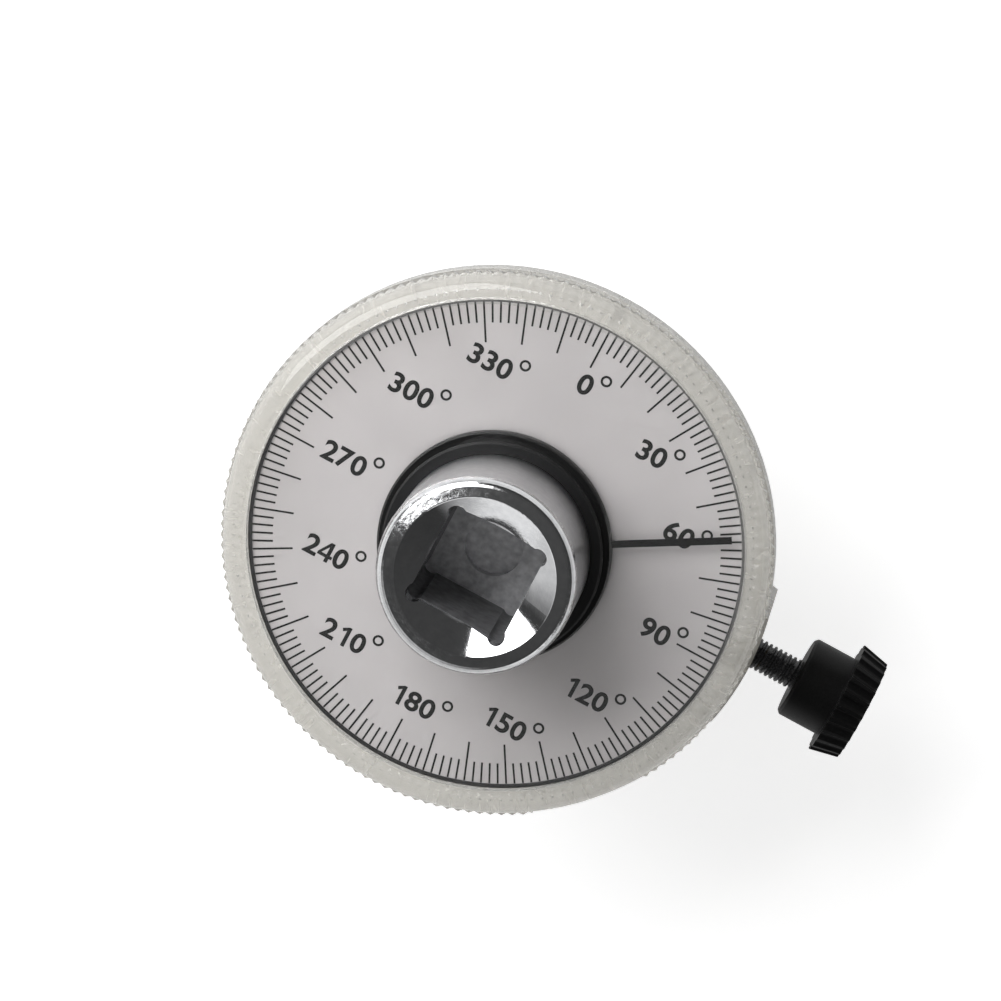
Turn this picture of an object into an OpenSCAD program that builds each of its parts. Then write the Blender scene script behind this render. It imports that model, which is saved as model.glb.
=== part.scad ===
// Torque angle gauge for half inch square drive tools.
// A chromed spindle, with a square socket on top and a square plug below,
// turns in a moulded base that carries a dial of degrees. A clear knurled
// cover with a pointer sits on the spindle with a friction ring: the spindle
// takes it round, and a hand can turn it back to zero. A thumb screw in the
// lug of the base clamps a rod that keeps the dial from turning.
// Origin: centre of the end face of the plug. +Z runs up the spindle axis,
// +Y points to the 0 degree mark of the dial and +X to the 90 degree mark.

/* [Spindle plug] */
// Width across the flats of the square plug
plug_af = 12.7; // [12:0.1:13.2]
// Length of the square plug
plug_len = 15.5; // [14:0.5:18]
// Radius that the corners of the plug are turned to
plug_corner_r = 8.45; // [7.5:0.05:8.7]
// Chamfer round the end of the plug
plug_chamfer = 1.2; // [0.5:0.1:2]

/* [Spindle socket] */
// Width across the flats of the square socket
socket_af = 12.8; // [12.2:0.1:13.2]
// Depth of the straight part of the square socket
socket_depth = 13.9; // [10:0.1:14]
// Outside radius of the socket
socket_r = 12.4; // [11.6:0.1:12.8]
// Height of the socket's rim above the dial
socket_rise = 18.4; // [16.4:0.1:20]
// Rounding of the socket's outer edge
socket_edge = 1.1; // [0.4:0.1:1.6]
// Radius of the lead-in cone at the rim
lead_r = 10; // [9.2:0.1:10.4]
// Depth of the lead-in cone
lead_depth = 2.6; // [1.5:0.1:3.5]
// Radius of the relief in each corner of the square
relief_r = 1.15; // [0.8:0.05:1.5]
// Distance of each relief's centre from the flats
relief_inset = 0.8; // [0.3:0.05:0.9]
// Radius of the round recess in the floor of the socket
floor_recess_r = 3.7; // [2.5:0.1:5]
// Depth of the round recess in the floor
floor_recess_depth = 1.2; // [0.5:0.1:2]

/* [Spindle bearing] */
// Radius of the shaft in the bush
shaft_r = 9; // [8.7:0.1:9.6]
// Chamfer at the lower end of the shaft
shaft_chamfer = 0.5; // [0.2:0.1:0.8]
// Length of the bush
bush_len = 14.25; // [13:0.25:17]
// Wall of the bush
bush_wall = 1.95; // [1.2:0.05:2.4]
// Reach of the bush flange past the wall of the socket
bush_flange = 0.1; // [0.1:0.05:0.6]
// Thickness of the bush flange
bush_flange_t = 1.2; // [0.8:0.1:1.6]
// Thickness of the upper thrust washer
upper_washer_t = 0.5; // [0.3:0.1:0.6]
// Thickness of the lower thrust washer
lower_washer_t = 0.6; // [0.3:0.1:1]
// Width of the lower thrust washer
lower_washer_w = 2.4; // [1.5:0.1:3]
// Land of the shaft below the retaining ring
ring_land = 1; // [0.8:0.1:1.5]
// Thickness of the retaining ring
ring_t = 1.2; // [0.8:0.1:1.5]
// Depth of the groove for the retaining ring
ring_groove_depth = 0.8; // [0.5:0.1:1]
// Width of the band of the retaining ring
ring_w = 2; // [1.6:0.1:2.6]
// Opening between the ends of the retaining ring
ring_gap = 4; // [3:0.2:5]
// Radius of the eyes at the ends of the retaining ring
ring_eye_r = 1.5; // [1.2:0.1:1.8]
// Radius of the plier holes in those eyes
ring_eye_hole_r = 0.6; // [0.4:0.1:0.7]

/* [Detent] */
// Radius of the detent ball
ball_r = 2.38; // [2:0.01:2.6]
// How far the ball stands out of the plug
ball_proud = 0.95; // [0.5:0.05:1.2]
// Height of the ball above the end of the plug
ball_z = 8; // [6:0.5:9]
// Length of the spring behind the ball
spring_len = 5; // [4:0.1:5.6]
// Radius of the spring wire
spring_wire_r = 0.25; // [0.15:0.05:0.3]
// Number of turns of the spring
spring_turns = 5; // [3:1:6]

/* [Dial and base] */
// Outside radius of the base and the cover
rim_r = 35; // [33:0.5:40]
// Wall of the base round the dial
rim_wall = 3.35; // [1.6:0.05:4]
// Thickness of the dial plate
dial_t = 0.8; // [0.7:0.1:1.2]
// Width of the dust seal on the edge of the dial
seal_w = 0.5; // [0.4:0.1:2.5]
// Thickness of the dust seal
seal_t = 0.25; // [0.1:0.05:0.25]
// Thickness of the floor of the base
floor_t = 2; // [1.6:0.1:3]
// Drop of the skirt below the floor of the base
skirt_drop = 0.8; // [0.4:0.1:3]
// Chamfer at the foot of the skirt
skirt_chamfer = 0.5; // [0.2:0.1:0.7]
// Wall of the boss round the bush
boss_wall = 3; // [2:0.1:4]
// Number of places for ribs round the boss, one taken by the lug
rib_places = 8; // [6:2:12]
// Thickness of a rib
rib_t = 1.6; // [1.2:0.1:2.4]
// Depth of a rib at the boss
rib_h = 6; // [3:0.5:9]

/* [Lug and thumb screw] */
// How far the lug stands out past the rim
lug_proud = 0.4; // [0.3:0.05:2]
// Width of the lug
lug_w = 15.4; // [14:0.2:20]
// Chamfer at the foot of the lug
lug_chamfer = 1; // [0.4:0.1:1.5]
// Depth of the rod hole's axis below the dial
rod_drop = 13.6; // [11:0.1:14]
// Radius of the rod hole
rod_bore_r = 3.1; // [2:0.05:3.6]
// Wall between the rod hole and the lug's outer face
rod_outer_wall = 5.55; // [4.8:0.05:7]
// Wall between the rod hole and the lug's inner face
rod_inner_wall = 2.6; // [1.8:0.1:4]
// Wall below the rod hole
rod_foot_wall = 2.4; // [1.8:0.1:4]
// Thickness of the web that ties the lug to the boss
web_t = 4; // [2:0.2:6]
// Rise of the web's lower edge above the foot of the lug
web_rise = 2; // [1:0.5:5]
// Outside radius of the threaded insert
insert_r = 2.8; // [2.6:0.1:3.4]
// Length of the threaded insert
insert_len = 4.6; // [3:0.1:4.6]
// Depth of the insert below the lug's outer face
insert_recess = 0.3; // [0.2:0.1:0.6]
// Radius of the thumb screw's stud
stud_r = 2; // [1.5:0.05:2.2]
// Length of stud that shows between the lug and the knob
stud_show = 6.35; // [4:0.05:9]
// Length of stud held in the knob
stud_grip = 7.5; // [5:0.1:8.5]
// Thickness of the pad on the tip of the stud
pad_t = 1.2; // [0.8:0.1:2]
// Radius of the pad
pad_r = 1.6; // [1.2:0.05:1.8]
// Radius of the pad's spigot
spigot_r = 0.9; // [0.6:0.05:1]
// Length of the pad's spigot
spigot_len = 1.4; // [0.8:0.1:2]
// Space between the pad and the rod hole
pad_back = 0.3; // [0.2:0.05:0.6]
// Radius of the knob's hub
knob_hub_r = 5.45; // [4.5:0.05:6]
// Length of the knob's hub
knob_hub_len = 5.9; // [4:0.1:8]
// Radius of the knob's flange at the hub
knob_r = 7.6; // [6.8:0.05:9]
// Radius of the knob's flange at its free end
knob_end_r = 6.8; // [6:0.05:7]
// Length of the knob's flange
knob_flange_len = 3.7; // [3:0.1:5]
// Number of serrations round the flange
knob_serrations = 24; // [16:1:30]
// Radius of the cutter of a serration
serration_r = 0.75; // [0.5:0.05:0.85]
// Depth of a serration
serration_depth = 0.45; // [0.2:0.05:0.6]
// Radius of the dish in the knob's end face
knob_dish_r = 5; // [3:0.1:5.5]
// Depth of the dish in the knob's end face
knob_dish_depth = 0.5; // [0.2:0.1:0.8]

/* [Cover and pointer] */
// Space between the base and the cover
cover_lift = 0.3; // [0.3:0.05:0.6]
// Height of the cover plate's underside above the dial
cover_room = 1.5; // [1.4:0.1:2.5]
// Thickness of the cover plate
cover_t = 2.5; // [2.4:0.1:4]
// Wall of the cover
cover_wall = 3.4; // [1.8:0.1:5]
// Rounding of the cover's upper edge
cover_edge = 2.3; // [0.6:0.1:2.6]
// Number of teeth of the knurl round the cover
knurl_teeth = 156; // [90:2:180]
// Depth of a tooth of the knurl
knurl_depth = 0.35; // [0.15:0.05:0.4]
// Height of the knurl
knurl_h = 1.3; // [1:0.1:2.5]
// Height of the knurl above the cover's lower edge
knurl_rise = 0.15; // [0.1:0.05:0.4]
// Depth of the plain edge of the cover below the teeth's tips
plain_depth = 0.45; // [0.4:0.05:0.6]
// Angle that the plain part takes up
plain_angle = 25; // [10:1:60]
// Angle from the pointer to the middle of the plain part
plain_angle_from_pointer = 73; // [40:0.5:120]
// Angle that the pointer shows on the scale
pointer_angle = 59; // [0:1:359]
// Distance from the pointer's end to the black ring
pointer_gap = 1.15; // [0.5:0.05:7]
// Width of the pointer
pointer_w = 0.88; // [0.4:0.02:1.4]
// Thickness of the pointer
pointer_t = 0.3; // [0.2:0.05:0.5]
// Wall of the hub's sleeve round the socket
hub_wall = 1.5; // [0.9:0.02:1.8]
// Reach of the hub's flange past the sleeve
hub_flange = 0.9; // [0.8:0.1:3]
// Height of the hub's sleeve above the cover plate
hub_proud = 0.4; // [0.2:0.1:1]
// Chamfer at the hub's edges
hub_chamfer = 0.25; // [0.1:0.05:0.35]
// Radius of the section of the friction ring
friction_r = 0.65; // [0.4:0.05:0.8]

/* [Fits] */
// Radial running clearance
run_clear = 0.05; // [0.02:0.01:0.1]
// Radial clearance of pieces that are fixed together
seat_clear = 0.02; // [0.01:0.01:0.05]
// End play between faces that turn past each other
end_play = 0.1; // [0.05:0.01:0.2]

/* [Hidden] */
$fn = 128;
cut = 1;

// Heights along the spindle, from the end of the plug upwards
groove_z = plug_len + ring_land;
ring_z = groove_z + seat_clear;
lower_washer_z = ring_z + ring_t;
groove_top = lower_washer_z + seat_clear;
bush_z = lower_washer_z + lower_washer_t + end_play;
floor_top = bush_z + bush_len;
dial_z = floor_top + dial_t;
shoulder_z = floor_top + upper_washer_t + end_play;
socket_top = dial_z + socket_rise;
socket_floor = socket_top - lead_depth - socket_depth;

// Radii from the spindle outwards
groove_r = shaft_r - ring_groove_depth;
bush_in_r = shaft_r + run_clear;
bush_out_r = bush_in_r + bush_wall;
bush_flange_r = max(socket_r, bush_out_r + 0.8) + bush_flange;
boss_r = bush_out_r + boss_wall;
hub_in_r = socket_r + run_clear;
hub_sleeve_r = hub_in_r + hub_wall;
hub_flange_r = hub_sleeve_r + hub_flange;
dial_in_r = max(bush_flange_r, socket_r) + 0.1;
recess_r = rim_r - rim_wall;
dial_r = recess_r - run_clear;
seal_r = dial_r - run_clear;
cover_in_r = rim_r - cover_wall;
cover_r = rim_r - plain_depth;
pointer_reach = seal_r - seal_w - pointer_gap;
knurl_root = 0.6;

// Levels of the base
floor_under = floor_top - floor_t;
skirt_z = floor_under - skirt_drop;

// Levels of the cover
cover_z = dial_z + cover_lift;
plate_z = dial_z + cover_room;
cover_top = plate_z + cover_t;
friction_z = (cover_z + cover_top + hub_proud) / 2;

// Places on the lug
lug_r = rim_r + lug_proud;
rod_x = lug_r - rod_outer_wall - rod_bore_r;
rod_z = dial_z - rod_drop;
lug_x = rod_x - rod_bore_r - rod_inner_wall;
lug_z = rod_z - rod_bore_r - rod_foot_wall;
pad_x = rod_x + rod_bore_r + pad_back;
stud_x = pad_x + pad_t + run_clear;
knob_x = lug_r + stud_show;
knob_len = knob_hub_len + knob_flange_len;

// Place of the detent ball and its spring, along -Y
ball_y = plug_af / 2 + ball_proud - ball_r;
spring_y = ball_y - ball_r - seat_clear;
spring_r = ball_r - spring_wire_r - run_clear;

// Points of a round corner: centre, radius, first and last angle
function round_corner(c, r, a0, a1) =
    [for (i = [0:6]) c + r * [cos(a0 + (a1 - a0) * i / 6), sin(a0 + (a1 - a0) * i / 6)]];

// Direction on the dial of a reading in degrees, clockwise from +Y
function reading_angle(reading) = 90 - reading;

// Turns a piece that is drawn along +Z to point along +X on the screw's axis
module on_screw_axis(x) {
    translate([x, 0, rod_z]) rotate([0, 90, 0]) children();
}

// Flat ring
module washer(inner, outer, thick) {
    difference() {
        cylinder(r = outer, h = thick);
        translate([0, 0, -cut]) cylinder(r = inner, h = thick + 2 * cut);
    }
}

// Round wire wound round the Z axis
module coil(r, wire_r, length, turns) {
    sides = 8;
    steps = 16 * turns;
    rise = length - 2 * wire_r;
    points = [
        for (i = [0:steps], j = [0:sides - 1])
            let (a = 360 * turns * i / steps, c = 360 * j / sides, q = r + wire_r * cos(c))
            [q * cos(a), q * sin(a), wire_r + rise * i / steps + wire_r * sin(c)]
    ];
    walls = [
        for (i = [0:steps - 1], j = [0:sides - 1])
            let (k = (j + 1) % sides)
            [i * sides + j, (i + 1) * sides + j, (i + 1) * sides + k, i * sides + k]
    ];
    first = [for (j = [0:sides - 1]) j];
    last = [for (j = [sides - 1:-1:0]) steps * sides + j];
    polyhedron(points, concat([first, last], walls), convexity = 10);
}

// Square plug: flats cut on a turned blank with a chamfered end
module plug_blank() {
    intersection() {
        translate([-plug_af / 2, -plug_af / 2, 0]) cube([plug_af, plug_af, plug_len + cut]);
        rotate_extrude() polygon([
            [0, 0], [plug_corner_r - plug_chamfer, 0], [plug_corner_r, plug_chamfer],
            [plug_corner_r, plug_len + cut], [0, plug_len + cut]
        ]);
    }
}

// Turned body of the spindle: shaft, ring groove, shoulder and socket
module spindle_turning() {
    friction_in = socket_r - 2 * friction_r - seat_clear;
    friction_half = friction_r + seat_clear;
    rotate_extrude() polygon(concat(
        [
            [0, plug_len], [shaft_r - shaft_chamfer, plug_len], [shaft_r, plug_len + shaft_chamfer],
            [shaft_r, groove_z], [groove_r, groove_z], [groove_r, groove_top], [shaft_r, groove_top],
            [shaft_r, shoulder_z], [socket_r, shoulder_z],
            [socket_r, friction_z - friction_half], [friction_in, friction_z - friction_half],
            [friction_in, friction_z + friction_half], [socket_r, friction_z + friction_half]
        ],
        round_corner([socket_r - socket_edge, socket_top - socket_edge], socket_edge, 0, 90),
        [[0, socket_top]]
    ));
}

// Square socket with corner reliefs, lead-in cone and floor recess
module socket_hole() {
    relief_at = socket_af / 2 - relief_inset;
    translate([-socket_af / 2, -socket_af / 2, socket_floor])
        cube([socket_af, socket_af, socket_top - socket_floor + cut]);
    for (x = [-relief_at, relief_at], y = [-relief_at, relief_at])
        translate([x, y, socket_floor]) cylinder(r = relief_r, h = socket_top - socket_floor + cut);
    rotate_extrude() polygon([
        [0, socket_top - lead_depth], [socket_af / 2 - 0.15, socket_top - lead_depth],
        [lead_r, socket_top], [lead_r, socket_top + cut], [0, socket_top + cut]
    ]);
    translate([0, 0, socket_floor - floor_recess_depth])
        cylinder(r = floor_recess_r, h = floor_recess_depth + cut);
}

// Blind hole in the plug for the detent ball and its spring
module ball_hole() {
    hole_end = spring_y - spring_len - seat_clear;
    translate([0, -hole_end, ball_z]) rotate([90, 0, 0])
        cylinder(r = ball_r + run_clear, h = plug_af / 2 - hole_end + cut);
}

// Chromed steel spindle in one piece
module spindle() {
    color("gainsboro") difference() {
        union() {
            plug_blank();
            spindle_turning();
        }
        socket_hole();
        ball_hole();
    }
}

// Steel ball that holds a socket on the plug
module detent_ball() {
    color("silver") translate([0, -ball_y, ball_z]) sphere(r = ball_r);
}

// Spring that presses the ball outwards
module detent_spring() {
    color("dimgray") translate([0, -spring_y, ball_z]) rotate([-90, 0, 0])
        coil(spring_r, spring_wire_r, spring_len, spring_turns);
}

// Open steel ring with plier eyes, sprung into the groove of the shaft
module retaining_ring() {
    inner = groove_r + seat_clear;
    outer = inner + ring_w;
    eye_at = ring_gap / 2 + ring_eye_r;
    eye_y = inner + ring_eye_r + 0.5;
    color("darkgray") translate([0, 0, ring_z]) linear_extrude(ring_t) difference() {
        union() {
            circle(r = outer);
            for (x = [-eye_at, eye_at]) translate([x, eye_y]) circle(r = ring_eye_r);
        }
        circle(r = inner);
        translate([-ring_gap / 2, 0]) square([ring_gap, outer + ring_eye_r + cut]);
        for (x = [-eye_at, eye_at]) translate([x, eye_y]) circle(r = ring_eye_hole_r);
    }
}

// Washer between the retaining ring and the bush
module lower_thrust_washer() {
    color("silver") translate([0, 0, lower_washer_z])
        washer(shaft_r + run_clear, shaft_r + run_clear + lower_washer_w, lower_washer_t);
}

// Round ring in the groove of the socket, which drags the hub along
module friction_ring() {
    color([0.12, 0.12, 0.12]) translate([0, 0, friction_z])
        rotate_extrude() translate([socket_r - friction_r, 0]) circle(r = friction_r);
}

// Flanged bush pressed into the boss of the base
module bearing_bush() {
    color("peru") rotate_extrude() polygon([
        [bush_in_r, bush_z], [bush_out_r, bush_z], [bush_out_r, floor_top - bush_flange_t],
        [bush_flange_r, floor_top - bush_flange_t], [bush_flange_r, floor_top], [bush_in_r, floor_top]
    ]);
}

// Washer between the bush and the shoulder of the socket
module upper_thrust_washer() {
    color("silver") translate([0, 0, floor_top])
        washer(shaft_r + run_clear, socket_r, upper_washer_t);
}

// Section of the base: rim, floor, skirt and boss
module base_section() {
    seat_r = bush_flange_r + seat_clear;
    seat_z = floor_top - bush_flange_t;
    bore_r = bush_out_r + seat_clear;
    skirt_in_r = recess_r;
    polygon([
        [bore_r, bush_z], [boss_r, bush_z], [boss_r, floor_under], [skirt_in_r, floor_under],
        [skirt_in_r, skirt_z], [rim_r - skirt_chamfer, skirt_z], [rim_r, skirt_z + skirt_chamfer],
        [rim_r, dial_z], [recess_r, dial_z], [recess_r, floor_top], [seat_r, floor_top],
        [seat_r, seat_z], [bore_r, seat_z]
    ]);
}

// One rib from the boss to the skirt, tapering outwards
module base_rib() {
    rotate([90, 0, 0]) linear_extrude(rib_t, center = true) polygon([
        [boss_r - 0.5, floor_under - rib_h], [recess_r + 0.5, floor_under - skirt_drop / 2],
        [recess_r + 0.5, floor_under + 0.5], [boss_r - 0.5, floor_under + 0.5]
    ]);
}

// Lug for the rod and the thumb screw, with its web to the boss
module base_lug() {
    lug_top = floor_under + 0.5;
    intersection() {
        translate([lug_x, -lug_w / 2, lug_z]) cube([lug_r, lug_w, lug_top - lug_z]);
        rotate_extrude() polygon([
            [0, lug_z], [lug_r - lug_chamfer, lug_z], [lug_r, lug_z + lug_chamfer],
            [lug_r, lug_top], [0, lug_top]
        ]);
    }
    translate([boss_r - 0.5, -web_t / 2, lug_z + web_rise])
        cube([lug_x - boss_r + 1, web_t, lug_top - lug_z - web_rise]);
}

// Moulded clear base with rim, boss, ribs and lug
module base_housing() {
    color([0.88, 0.89, 0.87, 0.6]) difference() {
        union() {
            rotate_extrude() base_section();
            for (i = [1:rib_places - 1]) rotate([0, 0, i * 360 / rib_places]) base_rib();
            base_lug();
        }
        translate([rod_x, 0, rod_z]) rotate([90, 0, 0])
            cylinder(r = rod_bore_r, h = lug_w + 2 * cut, center = true);
        on_screw_axis(rod_x) cylinder(r = insert_r + seat_clear, h = rod_bore_r + rod_outer_wall + cut);
    }
}

// Threaded brass insert for the thumb screw
module clamp_insert() {
    color("goldenrod") on_screw_axis(lug_r - insert_recess - insert_len)
        washer(stud_r + run_clear, insert_r, insert_len);
}

// Printed aluminium dial in the recess of the base
module dial_plate() {
    color([0.78, 0.77, 0.77]) translate([0, 0, floor_top]) washer(dial_in_r, dial_r, dial_t);
}

// Black ring round the dial, under the wall of the cover
module dust_seal() {
    color([0.08, 0.08, 0.08]) translate([0, 0, dial_z]) washer(seal_r - seal_w, seal_r, seal_t);
}

// Outline of the knurl: teeth on a band that leaves one plain part
module knurl_outline() {
    plain_mid = reading_angle(pointer_angle + plain_angle_from_pointer);
    root_r = rim_r - knurl_depth;
    tooth = 360 / knurl_teeth;
    teeth = floor((360 - plain_angle) / tooth);
    first = plain_mid + 180 - teeth * tooth / 2;
    band_r = cover_r - knurl_root;
    polygon(concat(
        [
            for (i = [0:2 * teeth])
                let (a = first + i * tooth / 2, r = i % 2 == 0 ? root_r : rim_r)
                r * [cos(a), sin(a)]
        ],
        [
            for (i = [2 * teeth:-1:0])
                let (a = first + i * tooth / 2)
                band_r * [cos(a), sin(a)]
        ]
    ));
}

// Section of the cover: plate, wall and rounded edge
module cover_section() {
    hole_r = hub_sleeve_r + seat_clear;
    polygon(concat(
        [
            [hole_r, plate_z], [cover_in_r, plate_z], [cover_in_r, cover_z],
            [cover_r, cover_z]
        ],
        round_corner([cover_r - cover_edge, cover_top - cover_edge], cover_edge, 0, 90),
        [[hole_r, cover_top]]
    ));
}

// Clear cover, turned by its knurled edge
module dial_cover() {
    color([0.92, 0.93, 0.92, 0.45]) {
        rotate_extrude() cover_section();
        translate([0, 0, cover_z + knurl_rise]) linear_extrude(knurl_h) knurl_outline();
    }
}

// Black hub under the cover plate, with a sleeve round the socket
module pointer_hub() {
    sleeve_top = cover_top + hub_proud;
    color([0.07, 0.07, 0.07]) rotate_extrude() polygon([
        [hub_in_r, cover_z], [hub_flange_r, cover_z], [hub_flange_r, plate_z - hub_chamfer],
        [hub_flange_r - hub_chamfer, plate_z], [hub_sleeve_r, plate_z],
        [hub_sleeve_r, sleeve_top - hub_chamfer], [hub_sleeve_r - hub_chamfer, sleeve_top],
        [hub_in_r, sleeve_top]
    ]);
}

// Black strip under the cover plate, from the hub to the scale
module pointer() {
    color([0.04, 0.04, 0.04]) rotate([0, 0, reading_angle(pointer_angle)]) difference() {
        translate([hub_sleeve_r, -pointer_w / 2, plate_z - pointer_t])
            cube([pointer_reach - hub_sleeve_r, pointer_w, pointer_t]);
        translate([0, 0, plate_z - pointer_t - cut])
            cylinder(r = hub_flange_r + seat_clear, h = pointer_t + 2 * cut);
    }
}

// Plastic pad on the tip of the stud, which bears on the rod
module clamp_pad() {
    color("ivory") on_screw_axis(pad_x) {
        cylinder(r = pad_r, h = pad_t);
        cylinder(r = spigot_r, h = pad_t + spigot_len);
    }
}

// Steel stud of the thumb screw, hollow at its tip for the pad's spigot
module clamp_stud() {
    stud_len = knob_x + stud_grip - stud_x;
    color([0.15, 0.15, 0.15]) on_screw_axis(stud_x) difference() {
        cylinder(r = stud_r, h = stud_len);
        translate([0, 0, -cut]) cylinder(r = spigot_r + run_clear, h = spigot_len + end_play + cut);
    }
}

// Black knob with a plain hub and a serrated, bevelled flange
module clamp_knob() {
    bevel = atan((knob_r - knob_end_r) / knob_flange_len);
    cutter_at = knob_r + serration_r - serration_depth;
    color([0.06, 0.06, 0.06]) on_screw_axis(knob_x) difference() {
        rotate_extrude() polygon([
            [0, 0], [knob_hub_r - 0.4, 0], [knob_hub_r, 0.4], [knob_hub_r, knob_hub_len],
            [knob_r, knob_hub_len], [knob_end_r, knob_len], [knob_dish_r, knob_len],
            [knob_dish_r - knob_dish_depth, knob_len - knob_dish_depth],
            [0, knob_len - knob_dish_depth]
        ]);
        translate([0, 0, -cut]) cylinder(r = stud_r + seat_clear, h = stud_grip + seat_clear + cut);
        for (i = [0:knob_serrations - 1])
            rotate([0, 0, i * 360 / knob_serrations]) translate([cutter_at, 0, knob_hub_len])
                rotate([0, -bevel, 0]) translate([0, 0, -cut])
                    cylinder(r = serration_r, h = knob_flange_len + 3 * cut);
    }
}

spindle();
detent_ball();
detent_spring();
retaining_ring();
lower_thrust_washer();
friction_ring();
bearing_bush();
upper_thrust_washer();
base_housing();
clamp_insert();
dial_plate();
dust_seal();
pointer_hub();
pointer();
dial_cover();
clamp_pad();
clamp_stud();
clamp_knob();
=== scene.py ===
import math

import bmesh
import bpy
from mathutils import Matrix, Vector


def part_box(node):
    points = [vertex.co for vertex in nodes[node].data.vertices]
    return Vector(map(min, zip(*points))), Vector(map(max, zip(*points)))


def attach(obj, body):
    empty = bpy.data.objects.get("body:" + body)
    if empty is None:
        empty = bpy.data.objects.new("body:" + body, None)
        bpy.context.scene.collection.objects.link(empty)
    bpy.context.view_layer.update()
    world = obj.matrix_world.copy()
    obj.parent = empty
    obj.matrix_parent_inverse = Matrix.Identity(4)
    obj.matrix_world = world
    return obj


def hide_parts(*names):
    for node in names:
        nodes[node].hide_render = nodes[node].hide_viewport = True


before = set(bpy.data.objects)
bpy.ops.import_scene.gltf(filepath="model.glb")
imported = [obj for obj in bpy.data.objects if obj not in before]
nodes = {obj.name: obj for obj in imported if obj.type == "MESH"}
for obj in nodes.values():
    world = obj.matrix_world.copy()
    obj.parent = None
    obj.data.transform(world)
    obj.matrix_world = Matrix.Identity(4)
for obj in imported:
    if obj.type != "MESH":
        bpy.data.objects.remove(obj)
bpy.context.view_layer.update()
scene = bpy.context.scene

# Spindle
# One turned steel piece with the broached socket on top, the shaft and the square plug below.
# Polished, then chrome plated: bright outside, matt and mottled down in the square hole where plating is thin;
# there the walls carry painted shade and the floor is painted lighter, as if lit.
MM = 0.001


def finish(name, colour, roughness, metallic=0.0):
    """A finish with one shader; its patterns are read on Object coordinates."""
    mat = bpy.data.materials.new(name)
    mat.use_nodes = True
    shader = mat.node_tree.nodes["Principled BSDF"]
    shader.inputs["Base Color"].default_value = (*colour, 1.0)
    shader.inputs["Roughness"].default_value = roughness
    shader.inputs["Metallic"].default_value = metallic
    place = mat.node_tree.nodes.new("ShaderNodeTexCoord")
    place.name = "place"
    return mat


def node(mat, kind, **settings):
    made = mat.node_tree.nodes.new(kind)
    for key, value in settings.items():
        setattr(made, key, value)
    return made


def join(mat, source, target):
    mat.node_tree.links.new(source, target)


def shader_of(mat):
    return mat.node_tree.nodes["Principled BSDF"]


def feed(mat, value, socket):
    """A node's value into one input of the finish's shader."""
    join(mat, value, shader_of(mat).inputs[socket])


def grain(mat, size, detail=2.0, stretch=(1.0, 1.0, 1.0)):
    """Noise whose blotches are about this many millimetres across; stretch squeezes it along an axis."""
    mapping = node(mat, "ShaderNodeMapping")
    mapping.inputs["Scale"].default_value = stretch
    join(mat, mat.node_tree.nodes["place"].outputs["Object"], mapping.inputs["Vector"])
    noise = node(mat, "ShaderNodeTexNoise")
    noise.inputs["Scale"].default_value = 1.0 / (size * MM)
    noise.inputs["Detail"].default_value = detail
    join(mat, mapping.outputs["Vector"], noise.inputs["Vector"])
    return noise.outputs["Fac"]


def spread(mat, value, low, high, start=0.3, end=0.7):
    """The value from start to end mapped to low to high."""
    ramp = node(mat, "ShaderNodeMapRange")
    ramp.inputs["From Min"].default_value = start
    ramp.inputs["From Max"].default_value = end
    ramp.inputs["To Min"].default_value = low
    ramp.inputs["To Max"].default_value = high
    join(mat, value, ramp.inputs["Value"])
    return ramp.outputs["Result"]


def blend(mat, share, first, second):
    """A colour between two, each a tuple or another node's colour."""
    mix = node(mat, "ShaderNodeMix", data_type="RGBA")
    join(mat, share, mix.inputs["Factor"])
    for socket, colour in ((mix.inputs[6], first), (mix.inputs[7], second)):
        if isinstance(colour, tuple):
            socket.default_value = (*colour, 1.0)
        else:
            join(mat, colour, socket)
    return mix.outputs[2]


def sums(mat, operation, first, second):
    """One sum on two numbers, each a plain value or another node's value."""
    step = node(mat, "ShaderNodeMath", operation=operation)
    for socket, value in zip(step.inputs, (first, second)):
        if isinstance(value, (int, float)):
            socket.default_value = value
        else:
            join(mat, value, socket)
    return step.outputs[0]


def relief(mat, height, depth):
    """Bump of this depth in millimetres on the shader's normal."""
    bump = node(mat, "ShaderNodeBump")
    bump.inputs["Strength"].default_value = 1.0
    bump.inputs["Distance"].default_value = depth * MM
    join(mat, height, bump.inputs["Height"])
    feed(mat, bump.outputs["Normal"], "Normal")


socket_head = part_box("spindle")[1].z
socket_lip = socket_head - 2.7 * MM
socket_floor = socket_head - 16.45 * MM
socket_foot = socket_head - 19.0 * MM
cone_r = 9.6 * MM
rim_in_r = 9.9 * MM
wall_r = 11.6 * MM
rim_fall = -6600.0

chrome = finish("chrome_plate", (0.78, 0.79, 0.81), 0.1, 1.0)
chrome_at = node(chrome, "ShaderNodeSeparateXYZ")
join(chrome, chrome.node_tree.nodes["place"].outputs["Object"], chrome_at.inputs[0])
chrome_x, chrome_y, chrome_z = chrome_at.outputs


def plated(operation, first, second=0.0):
    return sums(chrome, operation, first, second)


def plated_from(value, start, end):
    """0 below start and 1 above end, on the spindle."""
    return spread(chrome, value, 0.0, 1.0, start, end)


def plated_to(value, start, end):
    """1 below start and 0 above end, on the spindle."""
    return spread(chrome, value, 1.0, 0.0, start, end)


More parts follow.
